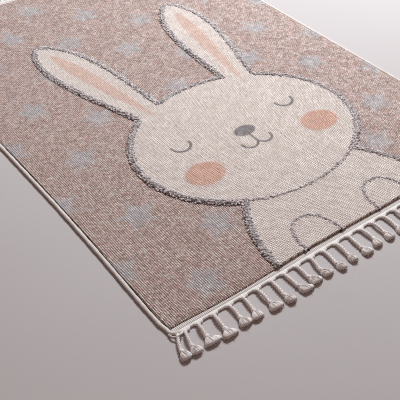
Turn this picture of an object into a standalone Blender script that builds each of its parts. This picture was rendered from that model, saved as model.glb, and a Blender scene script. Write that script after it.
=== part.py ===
"""A woven kids rug, 1.2 m by 1.7 m, with a raised rabbit motif, whipped sides and tasselled end tapes.

It lies flat on z = 0 with its length along Y, the rabbit's ears towards +Y and the hem it sits on at -Y.
"""

import math

import bmesh
import bpy
from mathutils import Matrix, Vector
from mathutils.geometry import interpolate_bezier

# The whole rug without its tassels, in metres.
RUG_WIDTH = 1.200
RUG_LENGTH = 1.700
GAP = 0.0003  # between neighbouring pieces
WHIP_WIDTH = 0.011
TAPE_WIDTH = 0.024
PILE_WIDTH = RUG_WIDTH - 2 * (WHIP_WIDTH + GAP)
PILE_LENGTH = RUG_LENGTH - 2 * (TAPE_WIDTH + GAP)
HEM_Y = -PILE_LENGTH / 2

# Heights of the pile above the floor. Joined shapes differ a little in height, so no two tops are level.
GROUND_TOP = 0.0080
BODY_TOP = 0.0116
EAR_TOP = 0.0118
HEAD_TOP = 0.0120
CHEEK_TOP = 0.0132
PILE_ROUND = 0.0015
BURIED = 0.0040  # where raised pile starts, inside the ground
HEM_INSET = 0.0010  # raised pile stops this far inside the hem

# The grey outline: wide round the rabbit, thin at the chin and paws.
OUTLINE_WIDTH = 0.0225
OUTLINE_TOP = 0.0162
THIN_WIDTH = 0.0150
THIN_TOP = 0.0145
OUTLINE_STEP = 0.016
LUMP = 0.12  # how much the outline's height and width vary
WANDER = 0.0013  # how far it strays sideways

# The rabbit, drawn from an ellipse, leaves and arcs about its own middle line.
RABBIT_X = 0.015
HEAD_Y = HEM_Y + 0.476
HEAD_HALF_WIDTH = 0.356
HEAD_HALF_HEIGHT = 0.292
EAR_ROOT_X = 0.168
EAR_ROOT_Y = 0.215  # above the head's centre
EAR_LENGTH = 0.590
EAR_LEAN = math.radians(10)
EAR_ROOT_HALF = 0.046
EAR_HALF_WIDTH = 0.079
EAR_WIDEST = 0.62  # share of the length, from the root
CHEEK_X = 0.214
CHEEK_Y = -0.088
CHEEK_HALF_WIDTH = 0.061
CHEEK_HALF_HEIGHT = 0.048
SHOULDER_X = 0.190
SHOULDER_Y = -0.235
HIP_X = 0.283
PAW_X = 0.128
PAW_HALF_WIDTH = 0.062
PAW_HEIGHT = 0.098
HEAD_POINTS = 128
CHEEK_POINTS = 24
CURVE_POINTS = 24  # between two knots

# Tapes and tassels
TAPE_THICKNESS = 0.0040
ROLL_WIDTH = 0.0110
ROLL_HEIGHT = 0.0068
TASSELS = 30
ROOT_IN_TAPE = 0.0070
ROOT_HALF_HIGH = 0.0014
ROOT_LIFT = 0.0008
CORD_LENGTH = 0.0480
CORD_HALF_WIDE = 0.0050
CORD_HALF_THIN = 0.0029
CORD_TURNS = 2.5
CORD_STEPS = 15
KNOT_LENGTH = 0.0080
BRUSH_LENGTH = 0.0240
BRUSH_TOP_SHARE = 0.62  # of the brush's width, along its upper side
BOW_MOST = 0.0020
FLOOR_CLEAR = 0.0002
# How the tassels that show in the photo lie, from the left corner on: the root, the knot's lean, the tip's
# lean, the brush's flare, and the cord's length beside CORD_LENGTH. The outermost two stand close together.
LIES = (
    (-0.5850, -0.0200, -0.0190, 0.85, 0.80), (-0.5650, -0.0135, -0.0105, 0.82, 0.83),
    (-0.5295, -0.0075, -0.0020, 1.38, 0.81), (-0.4855, -0.0045, -0.0035, 1.25, 0.97),
    (-0.4405, -0.0025, 0.0005, 1.05, 0.87), (-0.3985, -0.0055, -0.0085, 0.95, 0.90),
    (-0.3570, -0.0020, 0.0040, 1.14, 0.98), (-0.3120, -0.0050, 0.0010, 0.80, 1.08),
    (-0.2730, 0.0010, 0.0150, 1.12, 1.02), (-0.2310, -0.0020, 0.0085, 1.02, 0.88),
    (-0.1840, -0.0100, 0.0005, 0.84, 0.85), (-0.1430, -0.0045, 0.0015, 0.66, 1.00),
    (-0.1000, -0.0030, -0.0005, 0.66, 0.92), (-0.0540, -0.0040, 0.0000, 0.90, 1.00),
)
CORNER_TASSELS = 2  # the right corner mirrors the left one
# The tassels between are spaced evenly and lie by chance, at most this far either way.
LEAN_MOST = 0.0032
FLARE_MEAN, FLARE_MOST = 0.85, 0.22
STRETCH_MEAN, STRETCH_MOST = 0.95, 0.08
# The knot: share of its length, half width
KNOT_SECTIONS = (
    (0.35, 0.0060),
    (0.80, 0.0054),
)
# The brush from the knot to its tip: share of its length, half width, height
BRUSH_SECTIONS = (
    (0.10, 0.0076, 0.0106),
    (0.38, 0.0130, 0.0116),
    (0.72, 0.0152, 0.0100),
    (1.00, 0.0122, 0.0048),
)

WHIP_RADIUS = WHIP_WIDTH / 2
WHIP_ENDS = ((0.0, 0.45), (0.0022, 0.82), (0.0060, 1.0))  # distance from the end, share of the radius


def scatter(index, salt):
    """A fixed number from -1 to 1 that looks random."""
    value = math.sin(12.9898 * index + 78.233 * salt) * 43758.5453
    return 2 * (value - math.floor(value)) - 1


def clear_scene():
    for thing in list(bpy.data.objects):
        bpy.data.objects.remove(thing, do_unlink=True)


def material(name, colour, roughness):
    made = bpy.data.materials.new(name)
    made.use_nodes = True
    shader = made.node_tree.nodes["Principled BSDF"]
    shader.inputs["Base Color"].default_value = (*colour, 1.0)
    shader.inputs["Roughness"].default_value = roughness
    shader.inputs["Metallic"].default_value = 0.0
    made.diffuse_color = (*colour, 1.0)
    return made


def add_object(name, mesh, collection):
    made = bpy.data.objects.new(name, mesh)
    collection.objects.link(made)
    return made


def loft(name, rings, collection):
    """A closed skin over rings of points, for sections that change shape along the way."""
    shape = bmesh.new()
    loops = [[shape.verts.new(point) for point in ring] for ring in rings]
    for first, second in zip(loops, loops[1:]):
        for k in range(len(first)):
            after = (k + 1) % len(first)
            shape.faces.new((first[k], first[after], second[after], second[k]))
    shape.faces.new(reversed(loops[0]))
    shape.faces.new(loops[-1])
    bmesh.ops.recalc_face_normals(shape, faces=shape.faces)
    mesh = bpy.data.meshes.new(name)
    shape.to_mesh(mesh)
    shape.free()
    return add_object(name, mesh, collection)


def as_mesh(curve, collection):
    """Turns a curve object into a closed mesh object in the same place."""
    bpy.context.view_layer.update()
    seen = curve.evaluated_get(bpy.context.evaluated_depsgraph_get())
    mesh = bpy.data.meshes.new_from_object(seen)
    shape = bmesh.new()
    shape.from_mesh(mesh)
    bmesh.ops.remove_doubles(shape, verts=shape.verts, dist=1e-5)
    bmesh.ops.recalc_face_normals(shape, faces=shape.faces)
    shape.to_mesh(mesh)
    shape.free()
    made = add_object(curve.name + "_mesh", mesh, collection)
    made.matrix_world = curve.matrix_world
    bpy.data.objects.remove(curve, do_unlink=True)
    return made


def plate(name, outline, top, collection):
    """A flat outline raised from inside the ground to its top."""
    curve = bpy.data.curves.new(name, "CURVE")
    curve.dimensions = "2D"
    curve.fill_mode = "BOTH"
    curve.extrude = (top - BURIED) / 2
    spline = curve.splines.new("POLY")
    spline.points.add(len(outline) - 1)
    for point, place in zip(spline.points, outline):
        point.co = (place[0], place[1], 0.0, 1.0)
    spline.use_cyclic_u = True
    made = add_object(name, curve, collection)
    made.location.z = (top + BURIED) / 2
    return as_mesh(made, collection)


def spaced(points, step):
    """The same path with its points about one step apart."""
    lengths = [0.0]
    for a, b in zip(points, points[1:]):
        lengths.append(lengths[-1] + (b - a).length)
    count = max(2, round(lengths[-1] / step))
    path, at = [], 0
    for k in range(count + 1):
        goal = lengths[-1] * k / count
        while at < len(points) - 2 and lengths[at + 1] < goal:
            at += 1
        share = (goal - lengths[at]) / (lengths[at + 1] - lengths[at])
        path.append(points[at].lerp(points[at + 1], share))
    return path


def bezier(knots):
    """Points along a curve given as knots, each with its handle in, its place and its handle out."""
    path = []
    for (_, start, leave), (arrive, end, _) in zip(knots, knots[1:]):
        path += interpolate_bezier(start, leave, arrive, end, CURVE_POINTS)[:-1]
    path.append(knots[-1][1])
    return [Vector(point[:2]) for point in path]


def head_point(angle):
    across, up = HEAD_HALF_WIDTH * math.cos(angle), HEAD_HALF_HEIGHT * math.sin(angle)
    return Vector((RABBIT_X + across, HEAD_Y + up))


def head_arc(start, end):
    steps = max(2, math.ceil(abs(end - start) / math.tau * HEAD_POINTS))
    return [head_point(start + (end - start) * k / steps) for k in range(steps + 1)]


def on_side(side, x, y):
    """A place right (+1) or left (-1) of the rabbit's middle line, measured from its head's centre."""
    return Vector((RABBIT_X + side * x, HEAD_Y + y))


def ear_path(side):
    """One leaf-shaped ear from its inner root over the tip to its outer root."""
    root_half, half, tip = EAR_ROOT_HALF, EAR_HALF_WIDTH, EAR_LENGTH
    widest = EAR_WIDEST * tip
    # Knots of an upright ear at the origin, as (handle in, place, handle out)
    upright = (
        ((-root_half, 0), (-root_half, 0), (-root_half - 0.006, 0.12)),
        ((-half, widest - 0.13), (-half, widest), (-half, widest + 0.11)),
        ((-0.040, tip - 0.014), (0, tip), (0.040, tip - 0.014)),
        ((half, widest + 0.11), (half, widest), (half, widest - 0.13)),
        ((root_half + 0.006, 0.12), (root_half, 0), (root_half, 0)),
    )
    turn = Matrix.Rotation(-side * EAR_LEAN, 2)
    root = on_side(side, EAR_ROOT_X, EAR_ROOT_Y)
    return bezier([[root + turn @ Vector((side * x, y)) for x, y in knot] for knot in upright])


def outside_head(points, reach):
    """The part of a path that lies outside the head's ellipse, which is shrunk by reach."""
    wide, high = HEAD_HALF_WIDTH - reach, HEAD_HALF_HEIGHT - reach
    return [p for p in points if ((p.x - RABBIT_X) / wide) ** 2 + ((p.y - HEAD_Y) / high) ** 2 > 1]


def side_path(side):
    """One side of the body, from inside the head down to the hem."""
    hem = HEM_Y + HEM_INSET - HEAD_Y
    shoulder, hip = on_side(side, SHOULDER_X, SHOULDER_Y), on_side(side, HIP_X, hem)
    leave = on_side(side, SHOULDER_X + 0.045, SHOULDER_Y - 0.060)
    arrive = on_side(side, HIP_X - 0.004, hem + 0.110)
    return bezier([(shoulder, shoulder, leave), (arrive, hip, hip)])


def paw_path(side):
    """The rounded arch of one paw that rests on the hem."""
    hem = HEM_Y + HEM_INSET
    arch = [math.pi * k / 24 for k in range(25)]
    middle = RABBIT_X + side * PAW_X
    return [
        Vector((middle + PAW_HALF_WIDTH * math.cos(a), hem + PAW_HEIGHT * math.sin(a) ** 0.8)) for a in arch
    ]


def outline_rings(path, width, top):
    """Lumpy half-round sections along a path of the outline, rooted inside the ground."""
    section = ((-0.50, 0.0), (-0.46, 0.52), (-0.25, 1.0), (0.25, 1.0), (0.46, 0.52), (0.50, 0.0))
    points = spaced(path, OUTLINE_STEP)
    rings = []
    for i, place in enumerate(points):
        along = (points[min(i + 1, len(points) - 1)] - points[max(i - 1, 0)]).normalized()
        across = Vector((along.y, -along.x))
        here = round(1000 * (place.x + 3 * place.y))
        stray = WANDER * scatter(here, 1) if 0 < i < len(points) - 1 else 0.0
        middle = place + across * stray
        wide = width * (1 + LUMP * scatter(here, 2))
        high = (top - BURIED) * (1 + LUMP * scatter(here, 3))
        rings.append([(*(middle + across * (wide * s)), BURIED + high * h) for s, h in section])
    return rings


def outline_paths():
    """Each stretch of the grey outline: its path, width and top."""
    inner = math.acos((EAR_ROOT_X - EAR_ROOT_HALF) / HEAD_HALF_WIDTH)
    outer = math.acos((EAR_ROOT_X + EAR_ROOT_HALF + 0.008) / HEAD_HALF_WIDTH)
    chin = math.acos(SHOULDER_X / HEAD_HALF_WIDTH)
    wide, thin = (OUTLINE_WIDTH, OUTLINE_TOP), (THIN_WIDTH, THIN_TOP)
    stretches = [
        (head_arc(inner, math.pi - inner), *wide),
        (head_arc(outer, -chin), *wide),
        (head_arc(math.pi - outer, math.pi + chin), *wide),
        (head_arc(-chin, chin - math.pi), *thin),
    ]
    for side in (1, -1):
        stretches.append((outside_head(ear_path(side), 0.004), *wide))
        stretches.append((outside_head(side_path(side), 0.002), *wide))
        stretches.append((paw_path(side), *thin))
    return stretches


def united(name, base, others, collection):
    """One solid from overlapping ones, which are then removed."""
    join = base.modifiers.new("join", "BOOLEAN")
    join.operation = "UNION"
    join.solver = "EXACT"
    join.operand_type = "COLLECTION"
    join.collection = others
    bpy.context.view_layer.update()
    seen = base.evaluated_get(bpy.context.evaluated_depsgraph_get())
    mesh = bpy.data.meshes.new_from_object(seen)
    for piece in [base, *others.objects]:
        bpy.data.objects.remove(piece, do_unlink=True)
    mesh.name = name
    return add_object(name, mesh, collection)


def ground_pile(collection):
    """The flat ground of the rug, its top edges a little rounded."""
    shape = bmesh.new()
    size = Vector((PILE_WIDTH, PILE_LENGTH, GROUND_TOP))
    bmesh.ops.create_cube(shape, size=1.0)
    bmesh.ops.scale(shape, vec=size, verts=shape.verts)
    bmesh.ops.translate(shape, vec=(0, 0, GROUND_TOP / 2), verts=shape.verts)
    upper = [e for e in shape.edges if all(v.co.z > GROUND_TOP / 2 for v in e.verts)]
    bmesh.ops.bevel(
        shape, geom=upper, offset=PILE_ROUND, segments=1, affect="EDGES", profile=0.5, material=-1
    )
    mesh = bpy.data.meshes.new("ground")
    shape.to_mesh(mesh)
    shape.free()
    return add_object("ground", mesh, collection)


def cheek_outline(side):
    middle = on_side(side, CHEEK_X, CHEEK_Y)
    turns = [math.tau * k / CHEEK_POINTS for k in range(CHEEK_POINTS)]
    half_wide, half_high = CHEEK_HALF_WIDTH, CHEEK_HALF_HEIGHT
    return [middle + Vector((half_wide * math.cos(a), half_high * math.sin(a))) for a in turns]


def woven_rug(collection, workshop):
    """Ground, cream pile, cheeks and grey outline as the one woven piece they are."""
    plate("head", head_arc(0, math.tau)[:-1], HEAD_TOP, workshop)
    plate("body", side_path(-1) + side_path(1)[::-1], BODY_TOP, workshop)
    for side in (1, -1):
        plate("ear", spaced(ear_path(side), OUTLINE_STEP), EAR_TOP, workshop)
        plate("cheek", cheek_outline(side), CHEEK_TOP, workshop)
    for path, width, top in outline_paths():
        loft("outline", outline_rings(path, width, top), workshop)
    return united("woven_rug", ground_pile(collection), workshop, collection)


def whipped_edge(name, side, collection):
    """A cream yarn-wrapped edge along one long side, with rounded ends."""
    half = RUG_LENGTH / 2
    stations = [(-half + d, r) for d, r in WHIP_ENDS] + [(half - d, r) for d, r in reversed(WHIP_ENDS)]
    curve = bpy.data.curves.new(name, "CURVE")
    curve.dimensions = "3D"
    curve.bevel_depth = WHIP_RADIUS
    curve.bevel_resolution = 2
    curve.use_fill_caps = True
    spline = curve.splines.new("POLY")
    spline.points.add(len(stations) - 1)
    for point, (y, share) in zip(spline.points, stations):
        point.co = (0.0, y, 0.0, 1.0)
        point.radius = share
    made = add_object(name, curve, collection)
    made.location = (side * (RUG_WIDTH / 2 - WHIP_RADIUS), 0.0, WHIP_RADIUS)
    return made


def tape(collection):
    """The flat cream tape along the hem with its rolled outer edge."""
    half_wide, half_high = ROLL_WIDTH / 2, ROLL_HEIGHT / 2
    middle = TAPE_WIDTH - half_wide
    outline = [(0, 0), (0, TAPE_THICKNESS), (middle - half_wide, TAPE_THICKNESS)]
    for degrees in range(140, -41, -30):
        angle = math.radians(degrees)
        outline.append((middle + half_wide * math.cos(angle), half_high * (1 + math.sin(angle))))
    outline.append((middle + half_wide / 2, 0))
    ends = (-PILE_WIDTH / 2, PILE_WIDTH / 2)
    return loft("tape", [[(x, HEM_Y - GAP - across, z) for across, z in outline] for x in ends], collection)


def tassel_lie(index):
    """A tassel's root, the leans of its knot and tip, its brush's flare and its cord's length."""
    from_end = TASSELS - 1 - index
    if from_end < CORNER_TASSELS:
        root, knot, tip, flare, stretch = LIES[from_end]
        return -root, -knot, -tip, flare, stretch
    if index < len(LIES):
        return LIES[index]
    last, corner = len(LIES) - 1, TASSELS - CORNER_TASSELS
    share = (index - last) / (corner - last)
    root = LIES[-1][0] + (-LIES[CORNER_TASSELS - 1][0] - LIES[-1][0]) * share
    knot, tip = LEAN_MOST * scatter(index, 1), LEAN_MOST * scatter(index, 5)
    flare = FLARE_MEAN + FLARE_MOST * scatter(index, 4)
    return root, knot, tip, flare, STRETCH_MEAN + STRETCH_MOST * scatter(index, 3)


def tassel_rings(index):
    """Four-sided sections from a tassel's root in the tape through its cord and knot to its brush."""
    start_x, knot_lean, tip_lean, flare, stretch = tassel_lie(index)
    start_y = -RUG_LENGTH / 2
    bow = BOW_MOST * scatter(index, 2)
    reach = CORD_LENGTH * stretch

    def middle(out):
        in_cord = max(0.0, min(1.0, out / reach))
        in_brush = max(0.0, min(1.0, (out - reach) / (KNOT_LENGTH + BRUSH_LENGTH / 2)))
        lean = knot_lean * in_cord + (tip_lean - knot_lean) * in_brush
        return start_x + lean + bow * math.sin(math.pi * in_cord), start_y - out

    def box(out, half_wide, half_high, turn, lift=0.0):
        x, y = middle(out)
        corners = [(half_wide, half_high), (-half_wide, half_high)]
        corners += [(-a, -b) for a, b in corners]
        turned = [Matrix.Rotation(turn, 2) @ Vector(corner) for corner in corners]
        low = min(corner.y for corner in turned)
        return [(x + corner.x, y, corner.y - low + FLOOR_CLEAR + lift) for corner in turned]

    first_turn = -math.tau * CORD_TURNS
    rings = [box(-ROOT_IN_TAPE, CORD_HALF_THIN, ROOT_HALF_HIGH, first_turn, lift=ROOT_LIFT)]
    for k in range(CORD_STEPS + 1):
        turn = first_turn * (1 - k / CORD_STEPS)
        rings.append(box(reach * k / CORD_STEPS, CORD_HALF_WIDE, CORD_HALF_THIN, turn))
    for share, half in KNOT_SECTIONS:
        rings.append(box(reach + KNOT_LENGTH * share, half, half, 0.0))
    for share, half_wide, high in BRUSH_SECTIONS:
        x, y = middle(reach + KNOT_LENGTH + BRUSH_LENGTH * share)
        lower, upper = half_wide * flare, BRUSH_TOP_SHARE * half_wide * flare
        flat = [(upper, high), (-upper, high), (-lower, 0.0), (lower, 0.0)]
        rings.append([(x + across, y, FLOOR_CLEAR + up) for across, up in flat])
    return rings


def tasselled_tape(collection, workshop):
    """The tape at the hem with its tassels rooted in it."""
    for index in range(TASSELS):
        loft("tassel", tassel_rings(index), workshop)
    return united("near_tasselled_tape", tape(collection), workshop, collection)


def other_end(piece, name, collection):
    """The same piece at the far end, turned half round."""
    made = add_object(name, piece.data, collection)
    made.rotation_euler.z = math.pi
    return made


def build():
    clear_scene()
    rug = bpy.data.collections.new("kids_rug")
    workshop = bpy.data.collections.new("workshop")
    for collection in (rug, workshop):
        bpy.context.scene.collection.children.link(collection)
    pile = material("taupe_and_cream_pile", (0.47, 0.36, 0.32), 0.95)
    yarn = material("cream_yarn", (0.70, 0.60, 0.54), 0.9)
    woven = woven_rug(rug, workshop)
    near = tasselled_tape(rug, workshop)
    far = other_end(near, "far_tasselled_tape", rug)
    edges = [whipped_edge("left_whipped_edge", -1, rug), whipped_edge("right_whipped_edge", 1, rug)]
    woven.data.materials.append(pile)
    near.data.materials.append(yarn)
    for edge in edges:
        edge.data.materials.append(yarn)
    bpy.data.collections.remove(workshop)
    return [woven, near, far, *edges]


build()
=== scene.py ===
# %% [markdown]
# # A woven kids rug with a raised rabbit and tasselled ends
#
# The rug is one machine-woven piece: a melange ground pile, a higher cream pile for the rabbit and a tall
# shaggy grey outline round it. Its long sides are whipped with cream yarn, and each short side has a
# ribbed tape with twisted, knotted tassels. The frame below holds plain solids of these five parts. This
# lesson dresses them: each step names the real thing, weighs how it could be made, and then makes it.

# %% Load the frame
import math

import bmesh
import bpy
import numpy as np
from mathutils import Matrix, Vector
from mathutils.geometry import interpolate_bezier


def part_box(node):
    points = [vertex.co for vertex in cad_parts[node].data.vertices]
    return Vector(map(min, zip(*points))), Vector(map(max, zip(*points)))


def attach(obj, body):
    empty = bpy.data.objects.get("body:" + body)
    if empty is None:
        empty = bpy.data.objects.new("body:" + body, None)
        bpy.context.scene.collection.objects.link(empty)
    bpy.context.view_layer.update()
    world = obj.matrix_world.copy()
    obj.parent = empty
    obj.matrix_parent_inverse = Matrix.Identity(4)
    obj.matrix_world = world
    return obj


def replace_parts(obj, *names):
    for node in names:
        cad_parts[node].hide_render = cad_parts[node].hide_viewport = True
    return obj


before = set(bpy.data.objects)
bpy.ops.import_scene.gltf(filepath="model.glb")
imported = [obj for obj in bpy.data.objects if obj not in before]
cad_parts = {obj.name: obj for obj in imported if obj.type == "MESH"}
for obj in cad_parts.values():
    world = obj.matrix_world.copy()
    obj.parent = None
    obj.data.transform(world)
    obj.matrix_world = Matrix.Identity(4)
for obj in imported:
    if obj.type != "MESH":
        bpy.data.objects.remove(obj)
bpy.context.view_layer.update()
print("nodes:", ", ".join(sorted(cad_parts)))

# %% [markdown]
# ## The camera
#
# The picture was taken from above the rug's near left corner, looking down at 41 degrees and turned 37
# degrees to the right of the rug's length. A camera can be aimed with a tracking constraint, but two
# angles and the point that it aims at say the same more plainly. The small sideways shift stands for the
# picture's own cropping.

# %% The camera
CAMERA_AIM = Vector((-0.2664, -0.5215, 0.008))
CAMERA_DISTANCE = 2.066
CAMERA_DOWN = math.radians(41.2)
CAMERA_TURN = math.radians(36.8)  # to the right of the rug's length
LENS_MM = 69.7

camera = bpy.data.objects.new("camera", bpy.data.cameras.new("camera"))
bpy.context.scene.collection.objects.link(camera)
camera.data.lens = LENS_MM
camera.data.shift_x = -0.01
camera.rotation_euler = (math.pi / 2 - CAMERA_DOWN, 0, -CAMERA_TURN)
looking = camera.rotation_euler.to_matrix() @ Vector((0, 0, -1))
camera.location = CAMERA_AIM - looking * CAMERA_DISTANCE
bpy.context.scene.camera = camera
print("camera at", [round(x, 3) for x in camera.location])

# %% [markdown]
# ## Sizes
#
# Every size below is either read from the frame or is a real size of yarn and pile. The heights repeat
# those of the solids, so that the dressed rug fills the same space.

# %% Sizes read from the frame
PILE_LOW, PILE_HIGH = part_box("woven_rug")
WHIP_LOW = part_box("left_whipped_edge")[0]
PILE_WIDTH = PILE_HIGH.x - PILE_LOW.x
PILE_LENGTH = PILE_HIGH.y - PILE_LOW.y
HEM_Y = PILE_LOW.y
EDGE_Y = WHIP_LOW.y  # outer edge of the near tape
GROUND_TOP, BODY_TOP, EAR_TOP, HEAD_TOP = 0.0080, 0.0116, 0.0118, 0.0120
OUTLINE_WIDTH, OUTLINE_TOP = 0.0225, 0.0162
THIN_WIDTH, THIN_TOP = 0.0150, 0.0145
LOWEST = 0.0002  # what lies on the floor starts this high, so that it never dips below
print(f"pile {PILE_WIDTH:.4f} by {PILE_LENGTH:.4f} m, hem at y = {HEM_Y:.4f}")

# %% [markdown]
# ## Small helpers for meshes
#
# Most pieces start from a bmesh operator and end as an object at the origin. A yarn is a grid that is
# bent round a path, which keeps its faces in neat rows. Hundreds of loops or tassels are copies of one
# small mesh, joined as arrays: the same as duplicating by hand, but in one step.


# %% Mesh helpers
def scatter(index, salt):
    """A fixed number from -1 to 1 that looks random."""
    value = math.sin(12.9898 * index + 78.233 * salt) * 43758.5453
    return 2 * (value - math.floor(value)) - 1


def finished(name, mesh, materials):
    """A piece at the origin that rides on the rug, smooth shaded."""
    piece = bpy.data.objects.new(name, mesh)
    bpy.context.scene.collection.objects.link(piece)
    for material in materials:
        mesh.materials.append(material)
    mesh.shade_smooth()
    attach(piece, "root")
    print(f"{name}: {sum(len(p.vertices) - 2 for p in mesh.polygons)} triangles")
    return piece


def mesh_of(shape, name):
    mesh = bpy.data.meshes.new(name)
    shape.to_mesh(mesh)
    shape.free()
    return mesh


def places(mesh):
    """A mesh's points as an array."""
    co = np.empty(len(mesh.vertices) * 3, np.float32)
    mesh.vertices.foreach_get("co", co)
    return co.reshape(-1, 3).astype(float)


def straight_tube(sides, steps):
    """A closed tube of radius 1 along Z, one unit for each step, with a ring of points at every step."""
    shape = bmesh.new()
    bmesh.ops.create_cone(shape, cap_ends=True, segments=sides, radius1=1, radius2=1, depth=steps)
    long_edges = [e for e in shape.edges if abs(e.verts[0].co.z - e.verts[1].co.z) > steps / 2]
    bmesh.ops.subdivide_edges(shape, edges=long_edges, cuts=steps - 1)
    return mesh_of(shape, "straight_tube")


def bent(tube, path, radii, flat=1.0, upright=(0, 0, 1)):
    """A straight tube's points once it follows a path. flat squashes it, upright says which way it stands."""
    local, path = places(tube), np.array(path, float)
    radii = np.broadcast_to(radii, len(path))
    along = np.gradient(path, axis=0)
    side = np.cross(upright, along)
    up = np.cross(along, side)
    side, up = (v / np.linalg.norm(v, axis=1)[:, None] for v in (side, up))
    at = np.rint(local[:, 2] + (len(path) - 1) / 2).astype(int)
    return path[at] + radii[at, None] * (side[at] * local[:, :1] + up[at] * local[:, 1:2] * flat)


def joined(name, parts, value_name=None):
    """One mesh from many placed copies. A part is a small mesh, the copy's points and one value for it."""
    mesh = bpy.data.meshes.new(name)
    points, corners, starts, values = [], [], [], []
    first_point = first_corner = 0
    for small, placed, value in parts:
        corner = np.empty(len(small.loops), np.int32)
        start = np.empty(len(small.polygons), np.int32)
        small.loops.foreach_get("vertex_index", corner)
        small.polygons.foreach_get("loop_start", start)
        points.append(placed)
        corners.append(corner + first_point)
        starts.append(start + first_corner)
        values.append(np.full(len(placed), value))
        first_point += len(placed)
        first_corner += len(corner)
    for sequence, kind, arrays in (
        (mesh.vertices, "co", points),
        (mesh.loops, "vertex_index", corners),
        (mesh.polygons, "loop_start", starts),
    ):
        sequence.add(sum(len(a) for a in arrays))
        sequence.foreach_set(kind, np.concatenate(arrays).ravel())
    mesh.update(calc_edges=True)
    if value_name:
        mesh.attributes.new(value_name, "FLOAT", "POINT").data.foreach_set("value", np.concatenate(values))
    return mesh


# %% [markdown]
# ## Shader maths as Python
#
# A node tree for a weave is mostly arithmetic. Wrapping a socket in a small class lets a pattern be
# written as an expression, such as `1 - mask * 0.3`, and every operator adds the Math node that it stands
# for. All other nodes come from one method.


# %% Shader helpers
def srgb(red, green, blue):
    """A colour as a screen shows it, 0 to 255, as the linear values that shaders use."""
    values = [c / 255 for c in (red, green, blue)]
    return tuple(c / 12.92 if c <= 0.04045 else ((c + 0.055) / 1.055) ** 2.4 for c in values) + (1.0,)


class Value:
    """A socket that takes part in Python arithmetic."""

    def __init__(self, shader, socket):
        self.shader, self.socket = shader, socket

    def maths(self, operation, *others):
        return self.shader.node("ShaderNodeMath", {"operation": operation}, (self, *others))

    def __add__(self, other):
        return self.maths("ADD", other)

    def __sub__(self, other):
        return self.maths("SUBTRACT", other)

    def __rsub__(self, other):
        return self.shader.node("ShaderNodeMath", {"operation": "SUBTRACT"}, (other, self))

    def __mul__(self, other):
        return self.maths("MULTIPLY", other)

    def __truediv__(self, other):
        return self.maths("DIVIDE", other)

    def __pow__(self, other):
        return self.maths("POWER", other)

    def __abs__(self):
        return self.maths("ABSOLUTE")

    __radd__, __rmul__ = __add__, __mul__

    def smooth(self, low, high):
        """0 below low and 1 above high, with a soft step between."""
        settings = {"interpolation_type": "SMOOTHSTEP"}
        return self.shader.node("ShaderNodeMapRange", settings, (self, low, high, 0.0, 1.0))


class Shader:
    """A Principled material whose other nodes all come from node()."""

    def __init__(self, name, roughness, sheen):
        self.material = bpy.data.materials.new(name)
        self.material.use_nodes = True
        self.surface = self.material.node_tree.nodes["Principled BSDF"]
        self.surface.inputs["Roughness"].default_value = roughness
        self.surface.inputs["Sheen Weight"].default_value = sheen
        self.surface.inputs["Specular IOR Level"].default_value = 0.15
        self.place = self.node("ShaderNodeTexCoord", {}, (), "Object")
        self.x, self.y, self.z = (self.node("ShaderNodeSeparateXYZ", {}, (self.place,), k) for k in "XYZ")

    def node(self, kind, settings, sockets, out=0):
        """Adds a node: its settings first, then a value or a link for each socket, by order or by name."""
        made = self.material.node_tree.nodes.new(kind)
        for key, value in settings.items():
            if key == "stops":
                ramp = made.color_ramp.elements
                while len(ramp) < len(value):
                    ramp.new(1.0)
                for stop, (position, colour) in zip(ramp, value):
                    stop.position, stop.color = position, colour
            else:
                setattr(made, key, value)
        for key, value in sockets.items() if isinstance(sockets, dict) else enumerate(sockets):
            if isinstance(value, Value):
                self.material.node_tree.links.new(value.socket, made.inputs[key])
            else:
                made.inputs[key].default_value = value
        return Value(self, made.outputs[out])

    def mix(self, share, first, second, blend="MIX"):
        """Two colours mixed by a share from 0 to 1."""
        settings = {"data_type": "RGBA", "blend_type": blend, "clamp_factor": True}
        return self.node("ShaderNodeMix", settings, {0: share, 6: first, 7: second}, 2)

    def ramp(self, value, *stops):
        return self.node("ShaderNodeValToRGB", {"stops": stops}, (value,))

    def vector(self, x, y, z=0.0):
        return self.node("ShaderNodeCombineXYZ", {}, (x, y, z))

    def dice(self, x, y):
        """A random number from 0 to 1, the same wherever x and y are the same."""
        return self.node("ShaderNodeTexWhiteNoise", {"noise_dimensions": "2D"}, {"Vector": self.vector(x, y)})

    def noise(self, scale, detail=2.0, where=None):
        sockets = {"Vector": where or self.place, "Scale": scale, "Detail": detail}
        return self.node("ShaderNodeTexNoise", {}, sockets)

    def finish(self, colour, height, distance, strength=1.0):
        """Sets the colour and the bump, and returns the material."""
        links = self.material.node_tree.links
        relief = {"Strength": strength, "Distance": distance, "Height": height}
        bump = self.node("ShaderNodeBump", {}, relief)
        links.new(bump.socket, self.surface.inputs["Normal"])
        links.new(colour.socket, self.surface.inputs["Base Color"])
        return self.material


print("helpers ready")

# %% [markdown]
# ## The rabbit's drawing
#
# The motif is this rug's own plain rabbit: an ellipse for the head, two leaves for ears, arcs for the
# shoulders and paws. Curves with a few knots say this better than a list of points, and the pile, the
# outline and the colours all follow the same paths.

# %% The rabbit's paths
RABBIT_X = 0.015
HEAD_Y = HEM_Y + 0.476
HEAD_HALF_WIDTH, HEAD_HALF_HEIGHT = 0.356, 0.292
EAR_ROOT_X, EAR_ROOT_Y, EAR_ROOT_HALF = 0.168, 0.215, 0.046
EAR_LENGTH, EAR_HALF_WIDTH, EAR_WIDEST = 0.590, 0.079, 0.62
EAR_LEAN = math.radians(10)
SHOULDER_X, SHOULDER_Y, HIP_X = 0.190, -0.235, 0.283
PAW_X, PAW_HALF_WIDTH, PAW_HEIGHT = 0.128, 0.062, 0.098
HEM_INSET = 0.001
CURVE_POINTS = 24


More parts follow.
